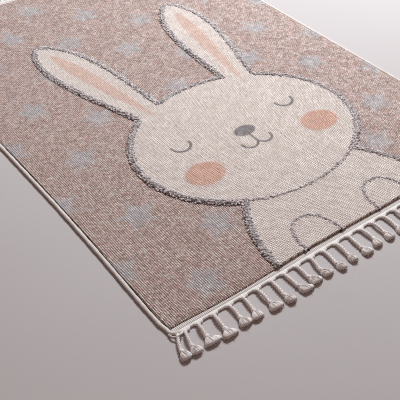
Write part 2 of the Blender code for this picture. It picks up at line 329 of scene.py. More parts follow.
def bezier(knots):
    """Points along a curve given as knots, each with its handle in, its place and its handle out."""
    path = []
    for (_, start, leave), (arrive, end, _) in zip(knots, knots[1:]):
        path += interpolate_bezier(start, leave, arrive, end, CURVE_POINTS)[:-1]
    path.append(knots[-1][1])
    return [Vector(point[:2]) for point in path]


def on_side(side, x, y):
    """A place right (+1) or left (-1) of the rabbit's middle line, measured from its head's centre."""
    return Vector((RABBIT_X + side * x, HEAD_Y + y))


def head_arc(start, end, steps=96):
    angles = [start + (end - start) * k / steps for k in range(steps + 1)]
    return [on_side(1, HEAD_HALF_WIDTH * math.cos(a), HEAD_HALF_HEIGHT * math.sin(a)) for a in angles]


def ear_path(side):
    root_half, half, tip = EAR_ROOT_HALF, EAR_HALF_WIDTH, EAR_LENGTH
    widest = EAR_WIDEST * tip
    upright = (
        ((-root_half, 0), (-root_half, 0), (-root_half - 0.006, 0.12)),
        ((-half, widest - 0.13), (-half, widest), (-half, widest + 0.11)),
        ((-0.040, tip - 0.014), (0, tip), (0.040, tip - 0.014)),
        ((half, widest + 0.11), (half, widest), (half, widest - 0.13)),
        ((root_half + 0.006, 0.12), (root_half, 0), (root_half, 0)),
    )
    turn = Matrix.Rotation(-side * EAR_LEAN, 2)
    root = on_side(side, EAR_ROOT_X, EAR_ROOT_Y)
    return bezier([[root + turn @ Vector((side * x, y)) for x, y in knot] for knot in upright])


def side_path(side):
    hem = HEM_Y + HEM_INSET - HEAD_Y
    shoulder, hip = on_side(side, SHOULDER_X, SHOULDER_Y), on_side(side, HIP_X, hem)
    leave = on_side(side, SHOULDER_X + 0.045, SHOULDER_Y - 0.060)
    arrive = on_side(side, HIP_X - 0.004, hem + 0.110)
    return bezier([(shoulder, shoulder, leave), (arrive, hip, hip)])


def paw_path(side):
    arch = [math.pi * k / 24 for k in range(25)]
    middle, hem = RABBIT_X + side * PAW_X, HEM_Y + HEM_INSET
    across = [middle + PAW_HALF_WIDTH * math.cos(a) for a in arch]
    up = [hem + PAW_HEIGHT * math.sin(a) ** 0.8 for a in arch]
    return [Vector(place) for place in zip(across, up)]


def inside(outline, x, y):
    """Which points lie inside a closed outline, by counting the edges that a ray crosses."""
    found = np.zeros(len(x), bool)
    for a, b in zip(outline, outline[1:] + outline[:1]):
        if a.y != b.y:
            crosses = ((a.y > y) != (b.y > y)) & (x < (b.x - a.x) * (y - a.y) / (b.y - a.y) + a.x)
            found ^= crosses
    return found


HEAD_OUTLINE = head_arc(0, math.tau)[:-1]
BODY_OUTLINE = side_path(-1) + side_path(1)[::-1]
EAR_OUTLINES = [ear_path(1), ear_path(-1)]
print("ear tips at", [tuple(round(c, 3) for c in ear_path(side)[2 * (CURVE_POINTS - 1)]) for side in (1, -1)])

# %% [markdown]
# ## Pile materials
#
# Woven pile stands in rows, 5.5 mm apart here, and each row is a line of tufts. The colour of a melange
# ground changes from tuft to tuft. Shade is painted into it as well: the furrow beside each row and the end
# of some tufts are darkened. Rounding the place down to a row and a tuft gives each one its own random
# number, which then drives colour and height together.

# %% Pile rows and tufts
ROW_PITCH = 0.0055
TUFT_PITCH = 0.0046
RABBIT_TUFT_PITCH = 0.0060
STAR_PITCH_X = PILE_WIDTH / 8
STAR_PITCH_Y = PILE_WIDTH / 4
STAR_FIRST_Y = 0.066  # above the hem, for the columns next to the sides
STAR_REACH, STAR_WAIST = 0.058, 0.030


class Pile(Shader):
    """A pile with its rows, its tufts and their random numbers worked out."""

    def __init__(self, name, tuft_pitch):
        super().__init__(name, 0.95, 0.0)
        row = self.x / ROW_PITCH + (self.noise(45.0, 1.0) - 0.5) * 0.6
        self.row = (row + 0.5).maths("FLOOR")
        tuft = self.y / tuft_pitch + self.dice(self.row, 3.0) * 7.0
        self.tuft = tuft.maths("FLOOR")
        self.random = self.dice(self.row, self.tuft)
        self.random2 = self.dice(self.tuft, self.row + 0.5)
        self.across = abs((row + 0.5).maths("FRACT") - 0.5) * 2
        self.along = abs(tuft.maths("FRACT") - 0.5) * 2
        self.dome = (1 - self.across ** 2.0) * (1 - self.along ** 3.0)

    def gap_shade(self, furrow, pin):
        """Painted shade between the tufts: in the furrow beside a row, and at the end of some tufts."""
        beside = self.across.smooth(0.30, 0.90) * (furrow + self.random2 * (1 - furrow))
        between = self.along.smooth(0.55, 1.0) * self.random2.smooth(1 - pin, 1.1 - pin)
        return beside.maths("MAXIMUM", between)

    def in_shade(self, colour, low, high, foot):
        """The same colour, darker towards the foot of the pile, where no light gets in."""
        return self.mix(1 - self.z.smooth(low, high), colour, foot)


def star_mask(pile, softness):
    """Upright five-pointed stars in a half-drop repeat, 1 inside and 0 outside."""
    column = (pile.x / STAR_PITCH_X + 0.5).maths("FLOOR")
    dropped = abs(column.maths("MODULO", 2.0))
    up = (pile.y - (HEM_Y + STAR_FIRST_Y + STAR_PITCH_Y / 2)) / STAR_PITCH_Y + dropped * 0.5
    local_x = pile.x - column * STAR_PITCH_X
    local_y = (up - (up + 0.5).maths("FLOOR")) * STAR_PITCH_Y
    fifth = math.tau / 5
    angle = local_x.maths("ARCTAN2", local_y)
    sector = abs((angle / fifth + 0.5).maths("FRACT") - 0.5) * fifth
    radius = (local_x * local_x + local_y * local_y) ** 0.5
    waist_x, waist_y = STAR_WAIST * math.cos(fifth / 2), STAR_WAIST * math.sin(fifth / 2)
    side_length = math.hypot(STAR_REACH - waist_x, waist_y)
    out_x, out_y = waist_y / side_length, (STAR_REACH - waist_x) / side_length
    outside = (radius * sector.maths("COSINE") - STAR_REACH) * out_x + radius * sector.maths("SINE") * out_y
    return 1 - outside.smooth(-softness, softness)


def ground_pile_material():
    pile = Pile("melange_ground_pile", TUFT_PITCH)
    yarn = pile.ramp(
        pile.random,
        (0.0, srgb(214, 180, 169)), (0.30, srgb(234, 203, 192)), (0.55, srgb(244, 218, 208)),
        (0.80, srgb(250, 231, 222)), (1.0, srgb(255, 245, 240)),
    )
    cloud = pile.noise(9.0, 3.0)
    tinted = pile.mix(cloud.smooth(0.45, 0.75) * 0.25, yarn, srgb(226, 188, 178))
    star = star_mask(pile, 0.011) * (0.45 + pile.random2 * 0.55)
    starred = pile.mix(star * 0.76, tinted, srgb(236, 240, 244))
    fleck = pile.noise(380.0, 1.0).smooth(0.42, 0.60)
    flecked = pile.mix(fleck * 0.4, starred, srgb(186, 156, 148), "MULTIPLY")
    # Painted shade: the ends of some tufts and the furrow beside each row are darkened towards deep brown.
    pinhole_shade = pile.along.smooth(0.55, 0.92) * (0.35 + pile.random2 * 0.45)
    dark = pinhole_shade.maths("MAXIMUM", pile.gap_shade(0.45, 0.32) * 0.85)
    shaded = pile.mix(dark, flecked, srgb(70, 47, 41), "MULTIPLY")
    height = pile.dome * 0.7 + pile.random * 0.12 + pile.noise(900.0, 1.0) * 0.15
    return pile.finish(pile.in_shade(shaded, 0.0025, 0.0066, srgb(40, 30, 27)), height, 0.0022, 1.0)


def arc_mask(pile, centre, radius, half_width, softness):
    """The lower half of a drawn circle, as wide as a line of pile."""
    x, y = pile.x - centre.x, pile.y - centre.y
    ring = half_width - abs((x * x + y * y) ** 0.5 - radius)
    lower = (0 - y) + half_width
    return ring.maths("MINIMUM", lower).smooth(-softness, softness)


def ellipse_mask(pile, centre, half_width, half_height, softness):
    x, y = (pile.x - centre.x) / half_width, (pile.y - centre.y) / half_height
    return 1 - ((x * x + y * y) ** 0.5).smooth(1 - softness / half_height, 1 + softness / half_height)


def lining_mask(pile, side):
    """The long leaf inside one ear, measured along and across the ear."""
    root = on_side(side, EAR_ROOT_X, EAR_ROOT_Y)
    x, y = pile.x - root.x, pile.y - root.y
    cos, sin = math.cos(EAR_LEAN), side * math.sin(EAR_LEAN)
    along = (x * sin + y * cos) / LINING_LENGTH
    across = abs(x * cos - y * sin)
    share = along.maths("MAXIMUM", 0.0).maths("MINIMUM", 1.0)
    half = (share * (1 - share) * 4) ** 0.6 * (0.35 + share * 0.65) * LINING_HALF
    return (half - across).smooth(-0.004, 0.005)


LINING_LENGTH, LINING_HALF = 0.520, 0.036
CHEEK_X, CHEEK_Y, CHEEK_HALF_WIDTH, CHEEK_HALF_HEIGHT = 0.214, -0.088, 0.061, 0.048
EYE_X, EYE_Y, EYE_RADIUS, EYE_LINE = 0.196, 0.058, 0.031, 0.0042
NOSE_Y, NOSE_HALF_WIDTH, NOSE_HALF_HEIGHT = 0.004, 0.036, 0.024
MOUTH_RADIUS, MOUTH_LINE, MOUTH_Y = 0.026, 0.0038, -0.050
STEM_EDGE = 0.002


def rabbit_pile_material():
    pile = Pile("cream_rabbit_pile", RABBIT_TUFT_PITCH)
    yarn = pile.ramp(
        pile.random,
        (0.0, srgb(240, 222, 212)), (0.4, srgb(247, 230, 220)),
        (0.8, srgb(251, 236, 227)), (1.0, srgb(254, 242, 234)),
    )
    ragged = (pile.random - 0.5) * 0.35
    peach, ink = None, None
    for side in (1, -1):
        middle = on_side(side, CHEEK_X, CHEEK_Y)
        cheek = ellipse_mask(pile, middle, CHEEK_HALF_WIDTH, CHEEK_HALF_HEIGHT, 0.005)
        patch = cheek.maths("MAXIMUM", lining_mask(pile, side) * 0.62)
        peach = patch if peach is None else peach.maths("MAXIMUM", patch)
        eye = arc_mask(pile, on_side(side, EYE_X, EYE_Y), EYE_RADIUS, EYE_LINE, 0.0022)
        lip = arc_mask(pile, on_side(side, MOUTH_RADIUS, MOUTH_Y), MOUTH_RADIUS, MOUTH_LINE, 0.0022)
        lines = eye.maths("MAXIMUM", lip)
        ink = lines if ink is None else ink.maths("MAXIMUM", lines)
    nose = ellipse_mask(pile, on_side(1, 0, NOSE_Y), NOSE_HALF_WIDTH, NOSE_HALF_HEIGHT, 0.003)
    stem = (MOUTH_LINE - abs(pile.x - RABBIT_X)).smooth(-STEM_EDGE, STEM_EDGE)
    for inwards in (pile.y - (HEAD_Y + MOUTH_Y), HEAD_Y + NOSE_Y - pile.y):
        stem = stem * inwards.smooth(-STEM_EDGE, STEM_EDGE)
    ink = ink.maths("MAXIMUM", nose).maths("MAXIMUM", stem)
    blush = pile.mix((peach + ragged * peach) * 0.92, yarn, srgb(238, 190, 170))
    drawn = pile.mix((ink + ragged * ink) * 0.86, blush, srgb(142, 134, 136))
    # Painted shade: the ends of some tufts and the furrow beside each row are darkened towards brown.
    pinhole_shade = pile.along.smooth(0.56, 0.92) * (0.55 + pile.random2 * 0.45)
    dark = pinhole_shade.maths("MAXIMUM", pile.across.smooth(0.50, 1.0) * 0.42)
    shaded = pile.mix(dark, drawn, srgb(88, 66, 58), "MULTIPLY")
    height = pile.dome * 0.7 + pile.random * 0.06 + pile.noise(900.0, 1.0) * 0.1 - ink * 0.4
    return pile.finish(pile.in_shade(shaded, 0.0060, 0.0098, srgb(60, 48, 43)), height, 0.0018, 0.9)


GROUND_LOOK = ground_pile_material()
RABBIT_LOOK = rabbit_pile_material()
print("pile materials:", GROUND_LOOK.name, RABBIT_LOOK.name)


# %% [markdown]
# ## The backing
#
# Turned over, such a rug shows a plain woven backing of fine beige cords. It is seldom seen, so a crossed
# weave of sines in the bump is enough: over one, under one.

# %% The backing's material
BACKING_PITCH = 0.0032


def backing_material():
    cloth = Shader("woven_backing", 0.9, 0.1)
    warp = (cloth.x * (math.tau / BACKING_PITCH)).maths("SINE")
    weft = (cloth.y * (math.tau / BACKING_PITCH)).maths("SINE")
    height = (warp * weft) * 0.5 + 0.5
    # Painted shade: the colour is darker in the weave's hollows.
    colour = cloth.ramp(height, (0.0, srgb(168, 152, 134)), (1.0, srgb(212, 199, 180)))
    return cloth.finish(colour, height, 0.0008)


BACKING_LOOK = backing_material()
print("backing:", BACKING_LOOK.name)

# %% [markdown]
# ## The ground pile
#
# The rug's body is a sheet 8 mm thick. A cube with bump would show straight, dead edges, so the top is a
# grid with a line of points on every row's crest and another in every furrow. Moving the crests up and
# the furrows down raises the real rows, and a little chance in each point makes the tufts uneven.
# Extruding the grid's rim down and filling it underneath closes the sheet. A woven edge is never quite
# straight, so the outer two rows follow the left side and the hem as they wander by a few millimetres.

# %% The ground pile
ROW_RELIEF = 0.0009
TUFT_CHANCE = 0.0001
PILE_ROUND = 0.0016
ROWS_ACROSS = 2 * round(PILE_WIDTH / ROW_PITCH)
ROWS_ALONG = 206
ROW_STEP = PILE_WIDTH / ROWS_ACROSS
EDGE_BAND = 0.011
HEM_ROW = 0.0022  # from each short edge to the row of points before it
# How far the left side stands out from a straight line, by y, and the hem, by x. Outwards is above 0.
# Both follow the picture as far as it shows them, to y = -0.3 and x = 0, and are guessed beyond.
LEFT_WANDER = (
    (-0.822, 0.0), (-0.800, 0.0038), (-0.750, 0.0040), (-0.700, 0.0030),
    (-0.650, 0.0018), (-0.600, 0.0001), (-0.550, -0.0012), (-0.500, -0.0022),
    (-0.450, -0.0031), (-0.400, -0.0037), (-0.350, -0.0040), (-0.300, -0.0045),
    (-0.100, -0.0025), (0.200, 0.0010), (0.500, -0.0015), (0.822, 0.0),
)
HEM_WANDER = (
    (-0.560, 0.0), (-0.520, 0.0015), (-0.470, 0.0036), (-0.420, 0.0044),
    (-0.370, 0.0040), (-0.345, 0.0034), (-0.295, 0.0018), (-0.245, 0.0008),
    (-0.195, -0.0012), (-0.145, -0.0028), (-0.095, -0.0015), (-0.045, -0.0022),
    (0.100, 0.0005), (0.300, -0.0012), (0.450, 0.0015), (0.560, 0.0),
)


def pile_relief(x, seed, uneven=TUFT_CHANCE):
    """How far each point of a pile stands above or below its mean: crests, furrows and chance."""
    crest = np.rint(x / ROW_STEP).astype(int) % 2 == 0
    chance = np.random.default_rng(seed).normal(0.0, uneven, len(x))
    return np.where(crest, ROW_RELIEF, -ROW_RELIEF) + np.clip(chance, -0.001, 0.001)


def side_wander(side, y):
    """How far a long side stands out from a straight line at y. Only the left one is seen to wander."""
    return np.where(side < 0, np.interp(y, *zip(*LEFT_WANDER)), 0.0)


def hem_wander(x):
    """How far the near hem stands out, and the far one for the point opposite."""
    return np.interp(x, *zip(*HEM_WANDER))


def wandered(co):
    """A pile's points with its outer two rows moved along with the wandering edges."""
    side, end = np.sign(co[:, 0]), np.sign(co[:, 1])
    near_side = np.clip((abs(co[:, 0]) - PILE_WIDTH / 2 + EDGE_BAND) / EDGE_BAND, 0, 1)
    near_end = np.clip((abs(co[:, 1]) - PILE_LENGTH / 2 + EDGE_BAND) / EDGE_BAND, 0, 1)
    co[:, 1] += end * near_end * hem_wander(-end * co[:, 0])
    co[:, 0] += side * near_side * side_wander(side, co[:, 1])
    return co


def skirted(shape, drop, slot):
    """Closes an open sheet: its rim goes straight down, and the new underside is filled."""
    rim = [e for e in shape.edges if e.is_boundary]
    lower = bmesh.ops.extrude_edge_only(shape, edges=rim)["geom"]
    lower_points = [v for v in lower if isinstance(v, bmesh.types.BMVert)]
    bmesh.ops.translate(shape, vec=(0, 0, -drop), verts=lower_points)
    rim = [e for e in shape.edges if e.is_boundary]
    for face in bmesh.ops.holes_fill(shape, edges=rim, sides=0)["faces"]:
        face.material_index = slot
    bmesh.ops.recalc_face_normals(shape, faces=shape.faces)


def ground_pile():
    shape = bmesh.new()
    bmesh.ops.create_grid(shape, x_segments=ROWS_ACROSS, y_segments=ROWS_ALONG, size=0.5)
    bmesh.ops.scale(shape, vec=(PILE_WIDTH, PILE_LENGTH, 1), verts=shape.verts)
    bmesh.ops.translate(shape, vec=(0, 0, GROUND_TOP), verts=shape.verts)
    skirted(shape, GROUND_TOP - 0.0001, 1)
    mesh = mesh_of(shape, "ground_pile")
    co = places(mesh)
    top = co[:, 2] > GROUND_TOP / 2
    relief = pile_relief(co[:, 0], 11)
    inner = np.minimum(PILE_WIDTH / 2 - abs(co[:, 0]), PILE_LENGTH / 2 - abs(co[:, 1]))
    relief -= np.where(inner < 0.001, PILE_ROUND, 0.0) + ROW_RELIEF / 2
    co[:, 2] += np.where(top, relief, 0.0)
    step = PILE_LENGTH / ROWS_ALONG
    before_hem = abs(PILE_LENGTH / 2 - step - abs(co[:, 1])) < step / 4
    co[:, 1] += np.where(before_hem, np.sign(co[:, 1]) * (step - HEM_ROW), 0.0)
    co = wandered(co)
    mesh.vertices.foreach_set("co", co.astype(np.float32).ravel())
    return finished("ground_pile", mesh, [GROUND_LOOK, BACKING_LOOK])


ground = ground_pile()

# %% [markdown]
# ## The rabbit's pile
#
# The rabbit is woven with a pile about 4 mm higher. The same kind of grid covers its bounds, and the
# faces outside the drawing are deleted. The ragged rim this leaves is only a tuft wide and disappears
# under the grey outline. Here the tufts are the subject, so the grid is finer along the rows.

# %% The rabbit's pile
TUFT_STEP = 0.0036
RABBIT_CHANCE = 0.0002
CHEEK_RISE = 0.0012
RABBIT_FOOT = 0.0060


def rabbit_pile():
    outlines = [HEAD_OUTLINE, BODY_OUTLINE, *EAR_OUTLINES]
    xs, ys = zip(*(point for outline in outlines for point in outline))
    first, last = math.floor(min(xs) / ROW_STEP), math.ceil(max(xs) / ROW_STEP)
    low_y, high_y = HEM_Y + HEM_INSET, max(ys)
    shape = bmesh.new()
    rows = round((high_y - low_y) / TUFT_STEP)
    bmesh.ops.create_grid(shape, x_segments=last - first, y_segments=rows, size=0.5)
    bmesh.ops.scale(shape, vec=((last - first) * ROW_STEP, high_y - low_y, 1), verts=shape.verts)
    middle = Vector(((first + last) * ROW_STEP / 2, (low_y + high_y) / 2, HEAD_TOP))
    bmesh.ops.translate(shape, vec=middle, verts=shape.verts)
    shape.faces.ensure_lookup_table()
    centres = np.array([f.calc_center_median() for f in shape.faces])
    kept = np.zeros(len(centres), bool)
    for outline in outlines:
        kept |= inside(outline, centres[:, 0], centres[:, 1])
    bmesh.ops.delete(shape, geom=[f for f, keep in zip(shape.faces[:], kept) if not keep], context="FACES")
    skirted(shape, HEAD_TOP - RABBIT_FOOT, 0)
    mesh = mesh_of(shape, "rabbit_pile")
    co = places(mesh)
    x, y = co[:, 0], co[:, 1]
    top = co[:, 2] > (HEAD_TOP + RABBIT_FOOT) / 2
    level = np.where(inside(HEAD_OUTLINE, x, y), HEAD_TOP, np.where(y > HEAD_Y, EAR_TOP, BODY_TOP))
    for side in (1, -1):
        cheek = on_side(side, CHEEK_X, CHEEK_Y)
        far = np.hypot((x - cheek.x) / CHEEK_HALF_WIDTH, (y - cheek.y) / CHEEK_HALF_HEIGHT)
        level += CHEEK_RISE * np.clip((1.05 - far) / 0.1, 0, 1)
    co[:, 2] = np.where(top, level + pile_relief(x, 12, RABBIT_CHANCE) - ROW_RELIEF / 2, RABBIT_FOOT)
    co = wandered(co)
    mesh.vertices.foreach_set("co", co.astype(np.float32).ravel())
    return finished("rabbit_pile", mesh, [RABBIT_LOOK])


rabbit = rabbit_pile()

# %% [markdown]
# ## The grey outline
#
# The outline is left as tall loops of marled yarn, from near white to mid grey, with shade painted darker
# at its foot. Hair particles would make it, but they render as strands and not as yarn. Instead one loop is
# spun from a small ring, and thousands of copies stand on the path, each turned, tilted and sized by chance.
# A plain ridge underneath fills the space between them.

# %% The outline's paths
LOOP_YARN, LOOP_RADIUS, LOOP_SIDES, LOOP_STEPS = 0.0019, 0.0028, 4, 5
LOOP_SPACING = 0.0048
LOOP_FOOT = 0.0040  # the lowest that a leg reaches into the pile


def outside_head(points, reach):
    wide, high = HEAD_HALF_WIDTH - reach, HEAD_HALF_HEIGHT - reach
    return [p for p in points if ((p.x - RABBIT_X) / wide) ** 2 + ((p.y - HEAD_Y) / high) ** 2 > 1]


def outline_paths():
    """Each stretch of the outline: its path, width, height and how many loops stand side by side."""
    inner = math.acos((EAR_ROOT_X - EAR_ROOT_HALF) / HEAD_HALF_WIDTH)
    outer = math.acos((EAR_ROOT_X + EAR_ROOT_HALF + 0.008) / HEAD_HALF_WIDTH)
    chin = math.acos(SHOULDER_X / HEAD_HALF_WIDTH)
    wide, thin = (OUTLINE_WIDTH, OUTLINE_TOP, 4), (THIN_WIDTH, THIN_TOP, 3)
    stretches = [
        (head_arc(inner, math.pi - inner), *wide),
        (head_arc(outer, -chin), *wide),
        (head_arc(math.pi - outer, math.pi + chin), *wide),
        (head_arc(-chin, chin - math.pi), *thin),
    ]
    for side in (1, -1):
        stretches.append((outside_head(ear_path(side), 0.004), *wide))
        stretches.append((outside_head(side_path(side), 0.002), *wide))
        stretches.append((paw_path(side), *thin))
    return stretches


def spaced(points, step):
    """The same path as an array, with its points about one step apart."""
    line = np.array(points)
    lengths = np.concatenate([[0], np.cumsum(np.linalg.norm(np.diff(line, axis=0), axis=1))])
    at = np.linspace(0, lengths[-1], max(2, round(lengths[-1] / step)) + 1)
    return np.stack([np.interp(at, lengths, line[:, k]) for k in (0, 1)], axis=1)


def across_path(line):
    """The unit direction to the side at each point of a path."""
    along = np.gradient(line, axis=0)
    along /= np.linalg.norm(along, axis=1)[:, None]
    return np.stack([along[:, 1], -along[:, 0]], axis=1)


# %% The outline's materials
def footed(yarn, colour):
    """A colour that darkens towards the outline's foot, where the loops stand close and no light gets in."""
    return yarn.mix(1 - yarn.z.smooth(0.0082, 0.0108), colour, srgb(58, 48, 48))


def marled_material(name, value_name):
    yarn = Shader(name, 0.9, 0.0)
    marl = yarn.node("ShaderNodeAttribute", {"attribute_name": value_name}, (), "Fac")
    fleck = yarn.noise(420.0, 1.0)
    shade = marl * 0.75 + fleck * 0.5 - 0.12
    colour = yarn.ramp(
        shade,
        (0.0, srgb(148, 137, 136)), (0.25, srgb(190, 179, 177)), (0.5, srgb(214, 204, 202)),
        (0.75, srgb(232, 222, 219)), (1.0, srgb(248, 240, 237)),
    )
    return yarn.finish(footed(yarn, colour), yarn.noise(1500.0, 1.0), 0.0006)


def felt_material():
    felt = Shader("outline_ridge_yarn", 0.95, 0.1)
    fleck = felt.noise(260.0, 2.0)
    colour = felt.ramp(fleck, (0.35, srgb(112, 103, 105)), (0.65, srgb(166, 157, 159)))
    return felt.finish(footed(felt, colour), fleck, 0.002)


MARLED_LOOK = marled_material("marled_loop_yarn", "marl")
FELT_LOOK = felt_material()


# %% The loops and the ridge under them
def yarn_loop():
    """One standing loop: a small ring spun through half a turn, its legs reaching down into the pile."""
    shape = bmesh.new()
    turn = Matrix.Translation((LOOP_RADIUS, 0, 0))
    bmesh.ops.create_circle(shape, segments=LOOP_SIDES, radius=LOOP_YARN, matrix=turn)
    ring = shape.verts[:] + shape.edges[:]
    bmesh.ops.spin(shape, geom=ring, cent=(0, 0, 0), axis=(0, -1, 0), angle=math.pi, steps=LOOP_STEPS)
    bmesh.ops.recalc_face_normals(shape, faces=shape.faces)
    return mesh_of(shape, "yarn_loop")


def outline_loops():
    small = yarn_loop()
    local = places(small)
    chance = np.random.default_rng(21)
    parts = []
    for points, width, top, abreast in outline_paths():
        line = spaced(points, LOOP_SPACING)
        side = across_path(line)
        for k in range(abreast):
            share = (k + 0.5) / abreast - 0.5
            for place, across in zip(line, side):
                stray = float(np.clip(share * 1.24 + chance.normal(0, 0.08), -0.60, 0.60))
                size = chance.uniform(0.90, 1.35)
                turned = Matrix.Rotation(chance.uniform(0, math.tau), 3, "Z")
                along = Vector((across[1], -across[0], 0))
                lean = Matrix.Rotation(stray * 1.3 + chance.normal(0, 0.25), 3, along)
                height = top - (top - GROUND_TOP) * 2.2 * stray * stray - LOOP_RADIUS - LOOP_YARN
                base = np.array([*(place + across * width * stray), height + chance.normal(0, 0.0005)])
                placed = (local * size) @ np.array((lean @ turned).transposed()) + base
                placed[:, 2] = np.maximum(placed[:, 2], LOOP_FOOT)
                parts.append((small, placed, chance.uniform()))
    return finished("outline_loops", joined("outline_loops", parts, "marl"), [MARLED_LOOK])


def outline_ridge():
    """A half-round ridge along every stretch, low enough to hide among the loops."""
    parts = []
    for points, width, top, _ in outline_paths():
        path = [(x, y, GROUND_TOP - 0.001) for x, y in spaced(points, 0.012)]
        tube, radius = straight_tube(10, len(path) - 1), width * 0.46
        parts.append((tube, bent(tube, path, radius, (top - GROUND_TOP - 0.0012) / radius), 0))
    return finished("outline_ridge", joined("outline_ridge", parts), [FELT_LOOK])


loops = outline_loops()
ridge = outline_ridge()

# %% [markdown]
# ## The whipped sides
#
# Yarn is wound round the raw side of the rug, about three turns to the centimetre, and at each corner it
# runs on round the bend and over the end of the tape. A tube with a stripe texture would be smooth in
# silhouette, so the tube's own points follow the winding: its radius rises and falls along a line that
# climbs once round the edge for each turn. One loose turn of the same yarn ties in the corner tassel.

# %% Cream yarn
def cotton(name, fibre_scale, dark, light):
    """A cream cotton's shader, its fibres, and its colour, which varies by fibre and by place."""
    yarn = Shader(name, 0.88, 0.0)
    fibre = yarn.noise(fibre_scale)
    return yarn, fibre, yarn.ramp(fibre * 0.6 + yarn.noise(60.0) * 0.4, (0.3, dark), (0.7, light))


whipping, fibre, cream = cotton("whipping_yarn", 900.0, srgb(208, 194, 184), srgb(246, 237, 231))
WHIP_LOOK = whipping.finish(cream, fibre, 0.0006)

# %% The whipped sides
WRAP_PITCH = 0.0032
WRAP_DEPTH = 0.00045
WRAP_POINTS = 3  # along the edge for each turn
WHIP_SIDES = 14
WHIP_X, WHIP_RADIUS, WHIP_FLAT = 0.5958, 0.0051, 0.80
CORNER_REACH = 0.030  # where the bend begins, before the end
TIE_RADIUS = 0.0021


def whip_line(side):
    """The middle of one long side's whipping, bent inwards round both corners."""
    bend_y = -EDGE_Y - CORNER_REACH
    bend = [(0.0, 0.0), (0.0, 0.0105), (0.0035, 0.0175), (0.0100, 0.0225), (0.0180, 0.0245), (0.0260, 0.0245)]
    corner = [(side * (WHIP_X - across), bend_y + up) for across, up in bend]
    line = spaced([(x, -y) for x, y in reversed(corner)] + corner, WRAP_PITCH / WRAP_POINTS)
    line[:, 0] += side * side_wander(side, line[:, 1])
    return line


def corner_tie(side, end):
    """One loose turn of yarn round the corner and under its tassel."""
    places_on = ((0.6005, 0.8360, 0.0040), (0.5990, 0.8470, 0.0060), (0.5940, 0.8530, 0.0075),
                 (0.5870, 0.8560, 0.0100), (0.5800, 0.8560, 0.0112), (0.5740, 0.8520, 0.0080))
    tube = straight_tube(6, 20)
    knots = np.array([(side * x, end * y, z) for x, y, z in places_on])
    at = np.linspace(0, len(knots) - 1, 21)
    path = np.stack([np.interp(at, range(len(knots)), knots[:, k]) for k in range(3)], axis=1)
    return tube, bent(tube, path, TIE_RADIUS), 0


def whipped_side(name, side, node):
    """One long side's winding: a tube whose radius rises and falls along a line that climbs round it."""
    line = whip_line(side)
    tube = straight_tube(WHIP_SIDES, len(line) - 1)
    local = places(tube)
    turns = local[:, 2] / WRAP_POINTS + side * np.arctan2(local[:, 1], local[:, 0]) / math.tau
    wave = WRAP_DEPTH * (np.cos(math.tau * turns) - 1) / 2
    wave += np.random.default_rng(31).normal(0, 0.0001, len(local))
    swell = 0.00025 * np.sin(local[:, 2] / 11.0) + 0.0002 * np.sin(local[:, 2] / 4.3 + side)
    taper = np.clip((len(line) / 2 - abs(local[:, 2])) / 8, 0, 1) ** 0.5 * 0.45 + 0.55
    local[:, :2] *= ((1 + (wave + swell) / WHIP_RADIUS) * taper)[:, None]
    tube.vertices.foreach_set("co", local.astype(np.float32).ravel())
    over_tape = np.clip((abs(line[:, 1]) + EDGE_Y + CORNER_REACH) / CORNER_REACH, 0, 1)
    path = np.column_stack([line, WHIP_RADIUS * WHIP_FLAT + 0.0010 * over_tape])
    co = bent(tube, path, WHIP_RADIUS, WHIP_FLAT)
    co[:, 2] = np.maximum(co[:, 2], LOWEST)
    mesh = joined(name, [(tube, co, 0), corner_tie(side, -1), corner_tie(side, 1)])
    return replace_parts(finished(name, mesh, [WHIP_LOOK]), node)


left_whip = whipped_side("left_whipping", -1, "left_whipped_edge")
right_whip = whipped_side("right_whipping", 1, "right_whipped_edge")

# %% [markdown]
# ## The end tapes
#
# A cotton tape covers each cut end. Its inner part is flat with fine cross ribs, and its outer part is
# rolled over the roots of the tassels, so its edge stands out in a rounded tab at each of them and steps
# back sharply beside it. One grid is bent round the tape's section, and the ribs and tabs move its
# points.

# %% The tape
TAPE_RIB_PITCH = 0.0044
TAPE_RIB_DEPTH = 0.00040
TAPE_THICKNESS, ROLL_WIDTH, ROLL_HEIGHT = 0.0040, 0.0110, 0.0068
TAPE_GAP = 0.0003
TAPE_WIDTH = HEM_Y - TAPE_GAP - EDGE_Y
SEAM_Y = TAPE_WIDTH - ROLL_WIDTH - HEM_Y - 0.0008
TAB_REACH, TAB_RECESS, TAB_RISE = 0.0044, 0.0018, 0.0012
TASSELS = 30
# How the tassels that show in the photo lie, from the left corner on: the root, the knot's lean,
# the tip's lean, the brush's flare, the cord's length beside CORD_LENGTH, and how far the cord arches
# off the floor.
LIES = (
    (-0.5850, -0.0200, -0.0190, 0.85, 0.80, 0.0010), (-0.5650, -0.0135, -0.0105, 0.82, 0.83, 0.0042),
    (-0.5295, -0.0075, -0.0020, 1.38, 0.81, 0.0042), (-0.4855, -0.0045, -0.0035, 1.25, 0.97, 0.0030),
    (-0.4405, -0.0025, 0.0005, 1.05, 0.87, 0.0016), (-0.3985, -0.0055, -0.0085, 0.95, 0.90, 0.0014),
    (-0.3570, -0.0020, 0.0040, 1.14, 0.98, 0.0040), (-0.3120, -0.0050, 0.0010, 0.80, 1.08, 0.0016),
    (-0.2730, 0.0010, 0.0150, 1.12, 1.02, 0.0010), (-0.2310, -0.0020, 0.0085, 1.02, 0.88, 0.0016),
    (-0.1840, -0.0100, 0.0005, 0.84, 0.85, 0.0036), (-0.1430, -0.0045, 0.0015, 0.66, 1.00, 0.0012),
    (-0.1000, -0.0030, -0.0005, 0.66, 0.92, 0.0026), (-0.0540, -0.0040, 0.0000, 0.90, 1.00, 0.0012),
)
CORNER_TASSELS = 2  # the right corner mirrors the left one
LEAN_MOST = 0.0032


